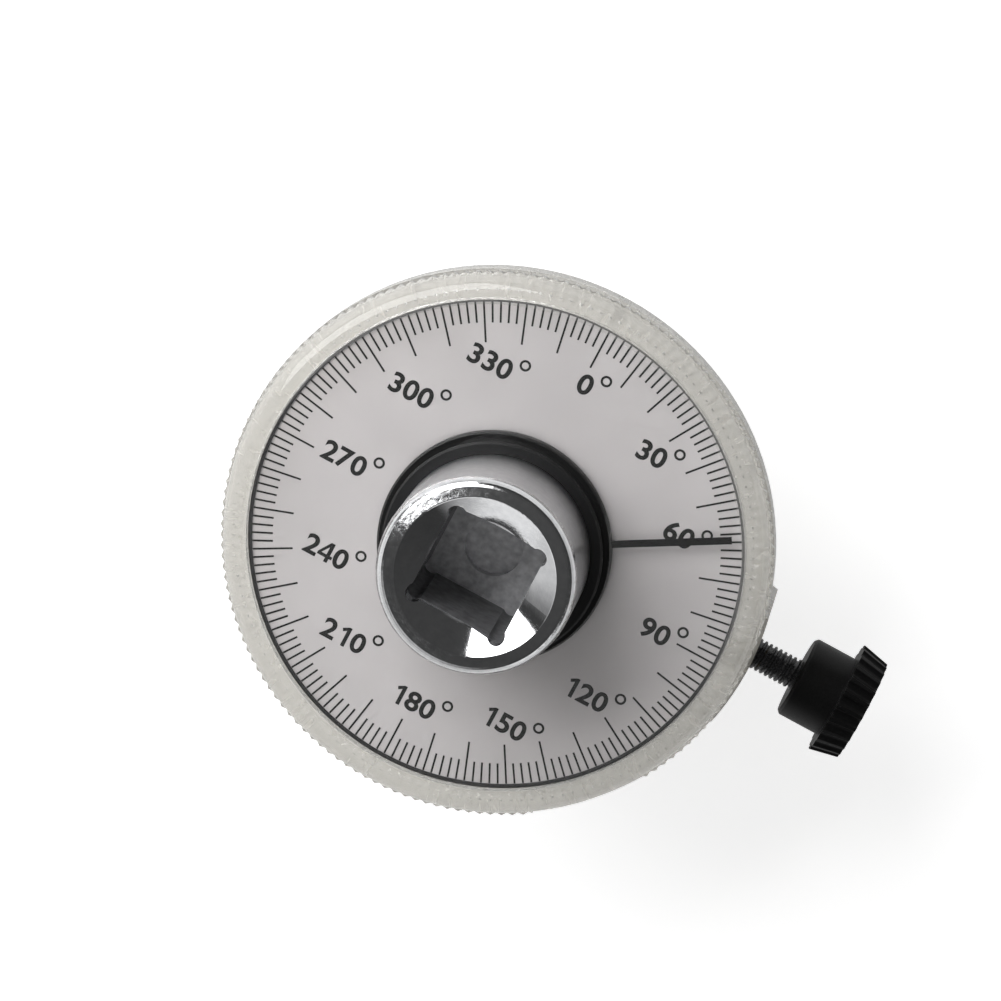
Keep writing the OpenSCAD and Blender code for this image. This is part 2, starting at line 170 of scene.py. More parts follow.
chrome_r = plated("SQRT", plated("ADD", plated("POWER", chrome_x, 2.0), plated("POWER", chrome_y, 2.0)))
below_lip = plated_to(chrome_z, socket_lip - 0.3 * MM, socket_lip + 0.4 * MM)
above_foot = plated_from(chrome_z, socket_foot, socket_foot + 0.2 * MM)
in_hole = plated("MULTIPLY", below_lip, above_foot)
in_hole = plated("MULTIPLY", in_hole, plated_to(chrome_r, cone_r, cone_r + 0.3 * MM))
near_head = plated_from(chrome_z, socket_head - 1.2 * MM, socket_head - 0.8 * MM)
on_rim = plated("MULTIPLY", plated_from(chrome_r, rim_in_r, rim_in_r + 0.2 * MM), near_head)
below_rim = plated_to(chrome_z, socket_head - 1.2 * MM, socket_head - 0.7 * MM)
on_wall = plated("MULTIPLY", plated_from(chrome_r, wall_r, wall_r + 0.4 * MM), below_rim)
cast = grain(chrome, 1.0, 6.0)
fine = grain(chrome, 0.22, 3.0)
dents = grain(chrome, 0.75, 4.0)
bright = blend(chrome, spread(chrome, cast, 0.0, 1.0), (0.68, 0.685, 0.70), (0.76, 0.765, 0.775))
# Painted light in the square hole: the walls get a dark colour as painted shade, the floor a pale colour as if
# lit, and the whole hole is made nearly non-metallic.
on_floor = plated_to(chrome_z, socket_floor, socket_floor + 0.25 * MM)
hole_wall_painted_shade = blend(chrome, plated_from(cast, 0.35, 0.7), (0.10, 0.10, 0.105), (0.22, 0.22, 0.23))
hole_floor_painted_light = blend(chrome, plated_from(cast, 0.35, 0.7), (0.62, 0.62, 0.64), (0.96, 0.96, 0.98))
hole_painted_shade_and_light = blend(chrome, on_floor, hole_wall_painted_shade, hole_floor_painted_light)
feed(chrome, blend(chrome, in_hole, bright, hole_painted_shade_and_light), "Base Color")
polish = spread(chrome, fine, 0.04, 0.10)
rim_wear = plated("MULTIPLY", on_rim, spread(chrome, dents, 0.02, 0.12))
wall_wear = plated("ADD", plated("MULTIPLY", on_wall, 0.24), rim_wear)
worn = plated("ADD", plated("MULTIPLY", in_hole, 0.24), wall_wear)
feed(chrome, plated("ADD", polish, worn), "Roughness")
feed(chrome, spread(chrome, in_hole, 1.0, 0.05, 0.0, 1.0), "Metallic")
pits = plated("MULTIPLY", dents, plated("MULTIPLY", on_rim, 0.5))
past_cone = plated("MAXIMUM", plated("SUBTRACT", chrome_r, 10.0 * MM), 0.0)
worn_rim = plated("MULTIPLY", past_cone, rim_fall)
cast_depth = plated("ADD", 0.03, plated("MULTIPLY", in_hole, 1.6))
skin = plated("ADD", plated("MULTIPLY", fine, 0.05), plated("MULTIPLY", cast, cast_depth))
relief(chrome, plated("ADD", plated("ADD", pits, worn_rim), skin), 0.05)
nodes["spindle"].data.materials[0] = chrome

# Detent ball and spring
# A hardened ball in the side of the plug, pressed out by a small coil spring.
# Both go into a blind hole, whose lip is staked over the ball.
ball_steel = finish("ball_steel", (0.62, 0.62, 0.64), 0.12, 1.0)
feed(ball_steel, spread(ball_steel, grain(ball_steel, 0.3), 0.08, 0.18), "Roughness")
nodes["detent_ball"].data.materials[0] = ball_steel

phosphate = finish("phosphated_wire", (0.12, 0.12, 0.125), 0.5, 0.8)
crystals = spread(phosphate, grain(phosphate, 0.35, 4.0), 0.0, 1.0)
feed(phosphate, blend(phosphate, crystals, (0.07, 0.07, 0.075), (0.20, 0.20, 0.205)), "Base Color")
relief(phosphate, grain(phosphate, 0.12, 3.0), 0.01)
nodes["detent_spring"].data.materials[0] = phosphate

# Retaining ring and thrust washers
# An open ring of spring steel snaps into the shaft's groove and keeps the spindle in the base.
# Ground steel washers take the thrust below the base and under the socket's shoulder.
nodes["retaining_ring"].data.materials[0] = phosphate

ground = finish("ground_steel", (0.56, 0.56, 0.57), 0.3, 1.0)
lay = grain(ground, 0.16, 3.0, (1.0, 8.0, 1.0))
feed(ground, spread(ground, lay, 0.22, 0.4), "Roughness")
relief(ground, lay, 0.008)
nodes["lower_thrust_washer"].data.materials[0] = ground
nodes["upper_thrust_washer"].data.materials[0] = ground

# Bearing bush
# A flanged bush of sintered bronze, pressed into the bore of the base.
# The spindle's shaft runs in it, on the oil that its pores hold.
bronze = finish("sintered_bronze", (0.45, 0.29, 0.15), 0.5, 1.0)
pores = grain(bronze, 0.28, 5.0)
pore_share = spread(bronze, pores, 0.0, 1.0, 0.35, 0.6)
feed(bronze, blend(bronze, pore_share, (0.22, 0.14, 0.08), (0.52, 0.35, 0.19)), "Base Color")
relief(bronze, pores, 0.03)
nodes["bearing_bush"].data.materials[0] = bronze

# Base
# A clear, milky moulded base: rim round the dial, boss round the bush, ribs, and the lug for rod and thumb screw.
# Light passes to the pieces behind it, so rays from lamps go straight through.
plastic_ior = 1.49


def clear(name, tint, roughness, wave, wave_depth, clearness=1.0):
    """Clear or milky moulded plastic with faint flow waves, which lets the lamps' light through."""
    mat = finish(name, tint, roughness)
    body = shader_of(mat)
    body.inputs["Transmission Weight"].default_value = clearness
    body.inputs["IOR"].default_value = plastic_ior
    feed(mat, spread(mat, grain(mat, 0.9, 3.0), roughness * 0.6, roughness * 1.6), "Roughness")
    relief(mat, grain(mat, wave, 2.0), wave_depth)
    path = node(mat, "ShaderNodeLightPath")
    through = node(mat, "ShaderNodeBsdfTransparent")
    through.inputs["Color"].default_value = (*[c * (0.3 + 0.66 * clearness) for c in tint], 1.0)
    mix = node(mat, "ShaderNodeMixShader")
    join(mat, path.outputs["Is Shadow Ray"], mix.inputs[0])
    join(mat, body.outputs["BSDF"], mix.inputs[1])
    join(mat, through.outputs["BSDF"], mix.inputs[2])
    join(mat, mix.outputs["Shader"], mat.node_tree.nodes["Material Output"].inputs["Surface"])
    return mat


base_clear = clear("milky_base_moulding", (0.76, 0.748, 0.715), 0.2, 4.0, 0.004, 0.6)
nodes["base_housing"].data.materials[0] = base_clear

# Threaded insert
# A turned brass bush with an inside thread, pressed into the lug for the thumb screw.
# It spares the plastic the wear of the screw.
brass = finish("turned_brass", (0.62, 0.45, 0.2), 0.25, 1.0)
turning = grain(brass, 0.1, 2.0, (6.0, 1.0, 1.0))
feed(brass, spread(brass, turning, 0.18, 0.34), "Roughness")
relief(brass, turning, 0.008)
nodes["clamp_insert"].data.materials[0] = brass

# Dial plate
# A stamped aluminium disc with a satin blasted face.
# It lies in the recess of the base, and the seal holds its edge.
satin = finish("satin_aluminium", (0.60, 0.585, 0.59), 0.5, 0.35)
blast = grain(satin, 0.09, 3.0)
clouds = spread(satin, grain(satin, 9.0, 2.0), 0.0, 1.0)
feed(satin, blend(satin, clouds, (0.575, 0.548, 0.558), (0.625, 0.596, 0.607)), "Base Color")
feed(satin, spread(satin, blast, 0.42, 0.58), "Roughness")
relief(satin, blast, 0.006)
nodes["dial_plate"].data.materials[0] = satin

# Printed scale
# Black ink, screen printed on the dial.
# A stroke every two degrees, longer every ten, and a number with its degree ring every thirty.
dial_z = 33.47
ink_t = 0.014
ink_mid = dial_z + ink_t / 2
ink = finish("printing_ink", (0.016, 0.016, 0.018), 0.45)
ink_cover = grain(ink, 0.12, 4.0)
ink_share = spread(ink, ink_cover, 0.0, 1.0)
feed(ink, blend(ink, ink_share, (0.004, 0.004, 0.004), (0.012, 0.012, 0.012)), "Base Color")
relief(ink, ink_cover, 0.004)
shader_of(ink).inputs["Specular IOR Level"].default_value = 0.05


def tree_inputs(name, sizes):
    """A new node tree with geometry in and out and one named input for each size."""
    tree = bpy.data.node_groups.new(name, "GeometryNodeTree")
    tree.interface.new_socket("Geometry", in_out="INPUT", socket_type="NodeSocketGeometry")
    idents = {}
    for label, value in sizes.items():
        if isinstance(value, bpy.types.Material):
            kind = "NodeSocketMaterial"
        else:
            kind = "NodeSocketInt" if isinstance(value, int) else "NodeSocketFloat"
        idents[label] = tree.interface.new_socket(label, in_out="INPUT", socket_type=kind).identifier
    tree.interface.new_socket("Geometry", in_out="OUTPUT", socket_type="NodeSocketGeometry")
    return tree, tree.nodes.new("NodeGroupInput").outputs, tree.nodes.new("NodeGroupOutput"), idents


def step(tree, kind, inputs=(), **settings):
    """A node with its settings, and its inputs given as (socket, value or other node's output)."""
    made = tree.nodes.new(kind)
    for key, value in settings.items():
        setattr(made, key, value)
    for socket, value in inputs:
        if hasattr(value, "is_output"):
            tree.links.new(value, made.inputs[socket])
        else:
            made.inputs[socket].default_value = value
    return made


def calc(tree, operation, first, second=0.0):
    return step(tree, "ShaderNodeMath", ((0, first), (1, second)), operation=operation).outputs[0]


def point(tree, x=0.0, y=0.0, z=0.0):
    return step(tree, "ShaderNodeCombineXYZ", ((0, x), (1, y), (2, z))).outputs[0]


def grown(name, tree, idents, sizes, start=None):
    """The tree's result as a plain mesh on a new object."""
    mesh = start or bpy.data.meshes.new(name)
    piece = bpy.data.objects.new(name, mesh)
    scene.collection.objects.link(piece)
    maker = piece.modifiers.new(name, "NODES")
    maker.node_group = tree
    for label, value in sizes.items():
        maker[idents[label]] = value
    bpy.context.view_layer.update()
    made = bpy.data.meshes.new_from_object(piece.evaluated_get(bpy.context.evaluated_depsgraph_get()))
    piece.modifiers.remove(maker)
    piece.data = made
    made.name = name
    return piece


tick_sizes = {
    "Strokes": 180, "Long Every": 5, "Outer Radius": 31.02 * MM, "Long": 5.15 * MM, "Short": 2.65 * MM,
    "Width": 0.25 * MM, "Thick": ink_t * MM, "Height": ink_mid * MM, "Ink": ink,
}
ticks, tick_in, tick_out, tick_ids = tree_inputs("dial_strokes", tick_sizes)
count = step(ticks, "GeometryNodeInputIndex").outputs[0]
turn = calc(ticks, "DIVIDE", calc(ticks, "MULTIPLY", count, math.tau), tick_in["Strokes"])
is_long = step(
    ticks, "FunctionNodeCompare", ((2, calc(ticks, "MODULO", count, tick_in["Long Every"])), (3, 0)),
    data_type="INT", operation="EQUAL",
).outputs[0]
reach = step(
    ticks, "GeometryNodeSwitch", (("Switch", is_long), ("False", tick_in["Short"]), ("True", tick_in["Long"])),
    input_type="FLOAT",
).outputs[0]
middle = calc(ticks, "SUBTRACT", tick_in["Outer Radius"], calc(ticks, "MULTIPLY", reach, 0.5))
tick_x = calc(ticks, "MULTIPLY", middle, calc(ticks, "SINE", turn))
tick_y = calc(ticks, "MULTIPLY", middle, calc(ticks, "COSINE", turn))
spots = step(ticks, "GeometryNodePoints", (
    ("Count", tick_in["Strokes"]), ("Position", point(ticks, tick_x, tick_y, tick_in["Height"])),
))
stroke = step(ticks, "GeometryNodeMeshCube")
laid = step(ticks, "GeometryNodeInstanceOnPoints", (
    ("Points", spots.outputs[0]), ("Instance", stroke.outputs[0]),
    ("Rotation", point(ticks, z=calc(ticks, "MULTIPLY", turn, -1.0))),
    ("Scale", point(ticks, tick_in["Width"], reach, tick_in["Thick"])),
))
real = step(ticks, "GeometryNodeRealizeInstances", ((0, laid.outputs[0]),))
inked = step(ticks, "GeometryNodeSetMaterial", (("Geometry", real.outputs[0]), ("Material", tick_in["Ink"])))
ticks.links.new(inked.outputs[0], tick_out.inputs[0])
strokes = grown("dial_strokes", ticks, tick_ids, tick_sizes)
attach(strokes, "housing")

digit_h = 2.68
digit_w = 1.08
digit_pitch = 2.02
digit_bold = 0.027
digit_low = -0.45
ring_r = 0.73
ring_stroke = 0.3
ring_sides = 36
ring_right, ring_up = 2.12, 1.6
label_trim = 0.9
label_spots = {
    0: (1.43, 24.15), 30: (12.76, 20.4), 60: (20.55, 12.97), 90: (23.75, 0.52),
    120: (19.9, -11.0), 150: (12.6, -19.5), 180: (1.14, -22.71), 210: (-10.53, -19.43),
    240: (-17.44, -10.75), 270: (-20.87, 1.1), 300: (-17.41, 12.93), 330: (-10.38, 21.02),
}
drawn_figures = {
    "1": (
        [(0.015, 0.0), (0.19, 0.0), (0.19, 1.0), (0.06, 1.0), (-0.22, 0.83), (-0.15, 0.68), (0.015, 0.79)],
        [(0, 1, 2, 3, 4, 5, 6)],
    ),
    "4": (
        [
            (0.385, 1.0), (0.578, 1.0), (0.578, 0.375), (0.70, 0.375), (0.70, 0.215), (0.578, 0.215), (0.578, 0.0),
            (0.405, 0.0), (0.405, 0.215), (0.0, 0.215), (0.0, 0.35), (0.405, 0.375), (0.405, 0.77), (0.155, 0.375),
        ],
        [(10, 13, 12, 0), (0, 12, 11, 2, 1), (9, 8, 11, 13, 10), (8, 5, 2, 11), (5, 4, 3, 2), (7, 6, 5, 8)],
    ),
}


def drawn_mesh(figure):
    """A figure drawn by its corners, one unit thick."""
    corners, panels = drawn_figures[figure]
    sheet = bmesh.new()
    verts = [sheet.verts.new((x, y, -0.5)) for x, y in corners]
    for panel in panels:
        sheet.faces.new([verts[i] for i in panel])
    lid = bmesh.ops.extrude_face_region(sheet, geom=sheet.faces[:])
    for v in lid["geom"]:
        if isinstance(v, bmesh.types.BMVert):
            v.co.z = 0.5
    bmesh.ops.recalc_face_normals(sheet, faces=sheet.faces)
    mesh = bpy.data.meshes.new(f"figure_{figure}")
    sheet.to_mesh(mesh)
    sheet.free()
    return mesh


def type_mesh(figure):
    """A figure in the plain typeface, made bolder, one unit thick."""
    words = bpy.data.curves.new(f"figure_{figure}", "FONT")
    words.body = figure
    words.offset = digit_bold
    words.extrude = 0.5
    words.resolution_u = 10
    holder = bpy.data.objects.new(f"figure_{figure}", words)
    scene.collection.objects.link(holder)
    bpy.context.view_layer.update()
    mesh = bpy.data.meshes.new_from_object(holder.evaluated_get(bpy.context.evaluated_depsgraph_get()))
    bpy.data.objects.remove(holder)
    bpy.data.curves.remove(words)
    return mesh


def digit_mesh(figure):
    """One figure as a solid of unit height and thickness, its middle at the origin."""
    mesh = drawn_mesh(figure) if figure in drawn_figures else type_mesh(figure)
    xs = [v.co.x for v in mesh.vertices]
    ys = [v.co.y for v in mesh.vertices]
    mid_x, mid_y = (max(xs) + min(xs)) / 2, (max(ys) + min(ys)) / 2
    tall = max(ys) - min(ys)
    for v in mesh.vertices:
        v.co = Vector(((v.co.x - mid_x) / tall, (v.co.y - mid_y) / tall, v.co.z))
    return mesh


def number(sheet, value, spot):
    """One number with its degree ring as thin solid ink, the middle of the label on spot."""
    figures = str(value)
    wide = digit_pitch * (len(figures) - 1) + ring_right
    left = -(wide + ring_r - label_trim) / 2
    size = Matrix.Diagonal((digit_h * digit_w, digit_h, ink_t, 1))
    on_dial = Matrix.Translation((spot[0] * MM, spot[1] * MM, ink_mid * MM)) @ Matrix.Scale(MM, 4)
    for i, figure in enumerate(figures):
        figure_mesh = digit_mesh(figure)
        figure_mesh.transform(Matrix.Translation((left + i * digit_pitch, digit_low, 0)) @ size)
        figure_mesh.transform(on_dial)
        sheet.from_mesh(figure_mesh)
        bpy.data.meshes.remove(figure_mesh)
    centre = Vector((spot[0] + left + wide, spot[1] + digit_low + ring_up, ink_mid))
    ring_in = ring_r - ring_stroke
    section = ((ring_r, -0.5), (ring_r, 0.5), (ring_in, 0.5), (ring_in, -0.5))
    loops = []
    for i in range(ring_sides):
        a = math.tau * i / ring_sides
        way = Vector((math.cos(a), math.sin(a), 0))
        loops.append([sheet.verts.new((centre + way * r + Vector((0, 0, z * ink_t))) * MM) for r, z in section])
    for i in range(ring_sides):
        a, b = loops[i], loops[(i + 1) % ring_sides]
        for j in range(4):
            sheet.faces.new((a[j], b[j], b[(j + 1) % 4], a[(j + 1) % 4]))


numbers = bmesh.new()
for value, spot in label_spots.items():
    number(numbers, value, spot)
bmesh.ops.remove_doubles(numbers, verts=numbers.verts, dist=0.0001 * MM)
bmesh.ops.recalc_face_normals(numbers, faces=numbers.faces)
numbers_mesh = bpy.data.meshes.new("dial_numbers")
numbers.to_mesh(numbers_mesh)
numbers.free()
numbers_mesh.materials.append(ink)
dial_numbers = bpy.data.objects.new("dial_numbers", numbers_mesh)
scene.collection.objects.link(dial_numbers)
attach(dial_numbers, "housing")

# Dust seal and friction ring
# Moulded black rubber: a flat, glossy ring that holds the dial's edge down under the cover,
# and a round ring that sits in the socket's groove and takes the hub round by friction.
rubber = finish("black_rubber", (0.012, 0.012, 0.013), 0.5)
rubber_skin = grain(rubber, 0.2, 4.0)
feed(rubber, spread(rubber, rubber_skin, 0.4, 0.62), "Roughness")
relief(rubber, rubber_skin, 0.01)
nodes["friction_ring"].data.materials[0] = rubber


def turned(name, outline, sides):
    """A ring turned from a closed outline of (radius, height) points in millimetres."""
    lathe = bmesh.new()
    turns = []
    for i in range(sides):
        a = math.tau * i / sides
        turns.append([lathe.verts.new((r * math.cos(a) * MM, r * math.sin(a) * MM, z * MM)) for r, z in outline])
    for i in range(sides):
        a, b = turns[i], turns[(i + 1) % sides]
        for j in range(len(outline)):
            k = (j + 1) % len(outline)
            lathe.faces.new((a[j], a[k], b[k], b[j]))
    bmesh.ops.recalc_face_normals(lathe, faces=lathe.faces)
    for face in lathe.faces:
        face.smooth = True
    mesh = bpy.data.meshes.new(name)
    lathe.to_mesh(mesh)
    lathe.free()
    return mesh


seal_gloss = finish("seal_rubber", (0.008, 0.008, 0.009), 0.16)
seal_skin = grain(seal_gloss, 0.35, 3.0)
feed(seal_gloss, spread(seal_gloss, seal_skin, 0.1, 0.24), "Roughness")
relief(seal_gloss, seal_skin, 0.006)
seal_in, seal_out, seal_t = 31.05, 31.55, 0.25
seal_edge = 0.06
seal_round = 0.3 * seal_edge
seal_top = dial_z + seal_t
bead = [
    (seal_in, dial_z), (seal_in, seal_top - seal_edge),
    (seal_in + seal_round, seal_top - seal_round), (seal_in + seal_edge, seal_top),
    (seal_out - seal_edge, seal_top), (seal_out - seal_round, seal_top - seal_round),
    (seal_out, seal_top - seal_edge), (seal_out, dial_z),
]
seal = bpy.data.objects.new("seal_ring", turned("seal_ring", bead, 240))
scene.collection.objects.link(seal)
seal.data.materials.append(seal_gloss)
seal.data.set_sharp_from_angle(angle=math.radians(60))
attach(seal, "housing")
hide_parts("dust_seal")

# Pointer hub
# A satin black moulding: its flange sits under the cover plate and its sleeve stands round the socket.
# The friction ring takes it round with the spindle.
hub_black = finish("hub_moulding", (0.008, 0.008, 0.0085), 0.5)
hub_skin = grain(hub_black, 0.5, 3.0)
feed(hub_black, spread(hub_black, hub_skin, 0.42, 0.56), "Roughness")
relief(hub_black, hub_skin, 0.012)
nodes["pointer_hub"].data.materials[0] = hub_black

# Pointer
# A thin black strip under the cover plate, from the hub to the scale.
# It is fixed to the hub and turns with it.
strip = finish("pointer_strip", (0.0015, 0.0015, 0.0015), 0.5)
strip_skin = grain(strip, 0.15, 3.0)
feed(strip, spread(strip, strip_skin, 0.42, 0.6), "Roughness")
relief(strip, strip_skin, 0.006)
shader_of(strip).inputs["Specular IOR Level"].default_value = 0.01
nodes["pointer"].data.materials[0] = strip

# Dial cover
# A clear moulded cover with a rounded, knurled edge for the fingers; one stretch of the edge is plain.
# It is pressed on the hub's sleeve, so it turns with the pointer.
cover_clear = clear("clear_cover_moulding", (0.97, 0.972, 0.965), 0.02, 6.0, 0.004)
cover_haze = clear("hazy_grip_moulding", (0.93, 0.922, 0.9), 0.05, 5.0, 0.0015, 0.86)


def arc(centre, radius, start, end, count):
    turns = [math.radians(start + (end - start) * i / count) for i in range(count + 1)]
    return [(centre[0] + radius * math.cos(a), centre[1] + radius * math.sin(a)) for a in turns]


cover_low, cover_under, cover_top = 33.77, 34.97, 37.47
cover_in, cover_out, cover_edge = 31.6, 34.55, 2.3
cover_hole = 13.97
cover_teeth = 156
tooth_proud = 0.44
band_foot, band_head = cover_low + 0.16, cover_low + 1.4
band_slope = 0.12 * MM
notch_half = 0.36 * MM
plate_rings = (20.0, 27.0, 31.2)
outline = [(cover_hole, cover_under)] + [(r, cover_under) for r in plate_rings]
outline += arc((cover_in - 0.12, cover_under - 0.12), 0.12, 90, 0, 3)
outline += [(cover_in, cover_under - 0.6)]
outline += arc((cover_in + 0.15, cover_low + 0.15), 0.15, 180, 270, 3)
outline += [(r, cover_low) for r in (32.2, 32.32, 32.6, 32.9, 33.02)]
outline += arc((cover_out - 0.12, cover_low + 0.12), 0.12, 270, 360, 3)
outline += [(cover_out, cover_low + rise) for rise in (0.16, 0.28, 0.55, 0.85, 1.1, 1.28)]
outline += arc((cover_out - cover_edge, cover_top - cover_edge), cover_edge, 0, 90, 18)
outline += [(32.0, cover_top)] + [(r, cover_top) for r in reversed(plate_rings)] + [(cover_hole, cover_top)]
cover_blank = turned("dial_cover_blank", outline, cover_teeth * 6)

knurl_sizes = {
    "Teeth": cover_teeth, "Root": 0.1 * MM, "Tip": tooth_proud * MM,
    "Band Foot": band_foot * MM, "Band Head": band_head * MM,
    "Plain From": 119.5, "Plain Angle": 25.0, "Grip From": 33.4 * MM,
    "Notch Radius": 32.61 * MM, "Notch Depth": 0.15 * MM, "Haze From": 31.5 * MM,
    "Plastic": cover_clear, "Haze": cover_haze,
}
knurl, knurl_in, knurl_out, knurl_ids = tree_inputs("cover_knurl", knurl_sizes)


def cut(operation, first, second=0.0):
    return calc(knurl, operation, first, second)


def ramp_between(value, start, end, low, high):
    """The value from start to end mapped to low to high, in the knurl's tree."""
    return step(knurl, "ShaderNodeMapRange", (
        ("Value", value), ("From Min", start), ("From Max", end), ("To Min", low), ("To Max", high),
    )).outputs[0]


at = step(knurl, "ShaderNodeSeparateXYZ", ((0, step(knurl, "GeometryNodeInputPosition").outputs[0]),))
at_x, at_y, at_z = at.outputs
around = cut("ARCTAN2", at_x, at_y)
away = cut("SQRT", cut("ADD", cut("MULTIPLY", at_x, at_x), cut("MULTIPLY", at_y, at_y)))
tooth_count = cut("MULTIPLY", around, cut("DIVIDE", knurl_in["Teeth"], math.tau))
tooth = cut("MULTIPLY", cut("PINGPONG", tooth_count, 0.5), 2.0)
past_plain = cut("SUBTRACT", cut("MULTIPLY", around, 180 / math.pi), knurl_in["Plain From"])
knurled = cut("GREATER_THAN", cut("FLOORED_MODULO", past_plain, 360.0), knurl_in["Plain Angle"])
foot = ramp_between(at_z, knurl_in["Band Foot"], cut("ADD", knurl_in["Band Foot"], band_slope), 0.0, 1.0)
head = ramp_between(at_z, cut("SUBTRACT", knurl_in["Band Head"], band_slope), knurl_in["Band Head"], 1.0, 0.0)
grip = cut("MULTIPLY", cut("MULTIPLY", foot, head), cut("GREATER_THAN", away, knurl_in["Grip From"]))
tooth_rise = cut("MULTIPLY", tooth, cut("SUBTRACT", knurl_in["Tip"], knurl_in["Root"]))
proud = cut("ADD", knurl_in["Root"], tooth_rise)
outward = cut("DIVIDE", cut("MULTIPLY", cut("MULTIPLY", proud, knurled), grip), away)
off_notch = cut("ABSOLUTE", cut("SUBTRACT", away, knurl_in["Notch Radius"]))
under_foot = cut("LESS_THAN", at_z, knurl_in["Band Foot"])
notched = cut("MULTIPLY", cut("LESS_THAN", off_notch, notch_half), under_foot)
lift = cut("MULTIPLY", cut("MULTIPLY", tooth, notched), knurl_in["Notch Depth"])
shift = point(knurl, cut("MULTIPLY", at_x, outward), cut("MULTIPLY", at_y, outward), lift)
pressed = step(knurl, "GeometryNodeSetPosition", (("Geometry", knurl_in["Geometry"]), ("Offset", shift)))
whole_cover = step(knurl, "GeometryNodeRealizeInstances", ((0, pressed.outputs[0]),))
moulded = step(knurl, "GeometryNodeSetMaterial", (
    ("Geometry", whole_cover.outputs[0]), ("Material", knurl_in["Plastic"]),
))
hazed = step(knurl, "GeometryNodeSetMaterial", (
    ("Geometry", moulded.outputs[0]), ("Selection", cut("GREATER_THAN", away, knurl_in["Haze From"])),
    ("Material", knurl_in["Haze"]),
))
knurl.links.new(hazed.outputs[0], knurl_out.inputs[0])
cover = grown("knurled_cover", knurl, knurl_ids, knurl_sizes, cover_blank)
cover.data.set_sharp_from_angle(angle=math.radians(38))
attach(cover, "pointer_cover")
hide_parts("dial_cover")

# Clamp pad
# A small nylon pad, pushed on the tip of the thumb screw.
# It bears on the rod and doesn't turn.
nylon = finish("pad_nylon", (0.7, 0.68, 0.62), 0.45)
shader_of(nylon).inputs["Subsurface Weight"].default_value = 0.1
feed(nylon, blend(nylon, grain(nylon, 0.8), (0.66, 0.64, 0.58), (0.74, 0.72, 0.66)), "Base Color")
relief(nylon, grain(nylon, 0.15), 0.006)
nodes["clamp_pad"].data.materials[0] = nylon

# Clamp stud
# A black oxide steel stud with a rolled M4 thread from end to end.
# It is moulded into the knob and runs in the brass insert.
screw_z = 19.87
stud_from, stud_to = 31.4, 49.25
stud_out = 2.0
pitch = 0.7
thread_start = 0.3
thread_length = stud_to - stud_from - 2 * thread_start
core_start = 0.05
oxide = finish("black_oxide", (0.03, 0.03, 0.032), 0.38, 0.5)
oxide_skin = grain(oxide, 0.25, 4.0)
oxide_share = spread(oxide, oxide_skin, 0.0, 1.0)
feed(oxide, blend(oxide, oxide_share, (0.035, 0.035, 0.036), (0.085, 0.085, 0.088)), "Base Color")
feed(oxide, spread(oxide, oxide_skin, 0.2, 0.34), "Roughness")
relief(oxide, oxide_skin, 0.008)
thread_sizes = {
    "Turns": thread_length / pitch, "Length": thread_length * MM, "Crest": (stud_out - 0.17) * MM,
    "Ridge": 0.24 * MM, "Core": (stud_out - 0.3) * MM,
    "Core Length": (stud_to - stud_from - 2 * core_start) * MM, "Steel": oxide,
}
thread, thread_in, thread_out, thread_ids = tree_inputs("stud_thread", thread_sizes)
helix = step(thread, "GeometryNodeCurveSpiral", (
    ("Resolution", 28), ("Rotations", thread_in["Turns"]), ("Start Radius", thread_in["Crest"]),
    ("End Radius", thread_in["Crest"]), ("Height", thread_in["Length"]), ("Reverse", False),
))
section = step(
    thread, "GeometryNodeCurvePrimitiveCircle", (("Resolution", 6), ("Radius", thread_in["Ridge"])), mode="RADIUS",
)
ridge = step(thread, "GeometryNodeCurveToMesh", (
    ("Curve", helix.outputs[0]), ("Profile Curve", section.outputs[0]), ("Fill Caps", True),
))
lifted = step(thread, "GeometryNodeTransform", (
    ("Geometry", ridge.outputs[0]), ("Translation", (0.0, 0.0, thread_start * MM)),
))
core = step(thread, "GeometryNodeMeshCylinder", (
    ("Vertices", 40), ("Radius", thread_in["Core"]), ("Depth", thread_in["Core Length"]),
))
core_mid = calc(thread, "ADD", calc(thread, "MULTIPLY", thread_in["Core Length"], 0.5), core_start * MM)
core_up = step(thread, "GeometryNodeTransform", (
    ("Geometry", core.outputs[0]), ("Translation", point(thread, z=core_mid)),
))
both = step(thread, "GeometryNodeJoinGeometry")
thread.links.new(lifted.outputs[0], both.inputs[0])
thread.links.new(core_up.outputs[0], both.inputs[0])
whole_stud = step(thread, "GeometryNodeRealizeInstances", ((0, both.outputs[0]),))
blacked = step(thread, "GeometryNodeSetMaterial", (
    ("Geometry", whole_stud.outputs[0]), ("Material", thread_in["Steel"]),
))
thread.links.new(blacked.outputs[0], thread_out.inputs[0])
stud = grown("threaded_stud", thread, thread_ids, thread_sizes)
stud_place = Matrix.Translation((stud_from * MM, 0, screw_z * MM))
stud.data.transform(stud_place @ Matrix.Rotation(math.radians(90), 4, "Y"))
stud.data.shade_smooth()
stud.data.set_sharp_from_angle(angle=math.radians(50))
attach(stud, "clamp_screw")
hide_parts("clamp_stud")

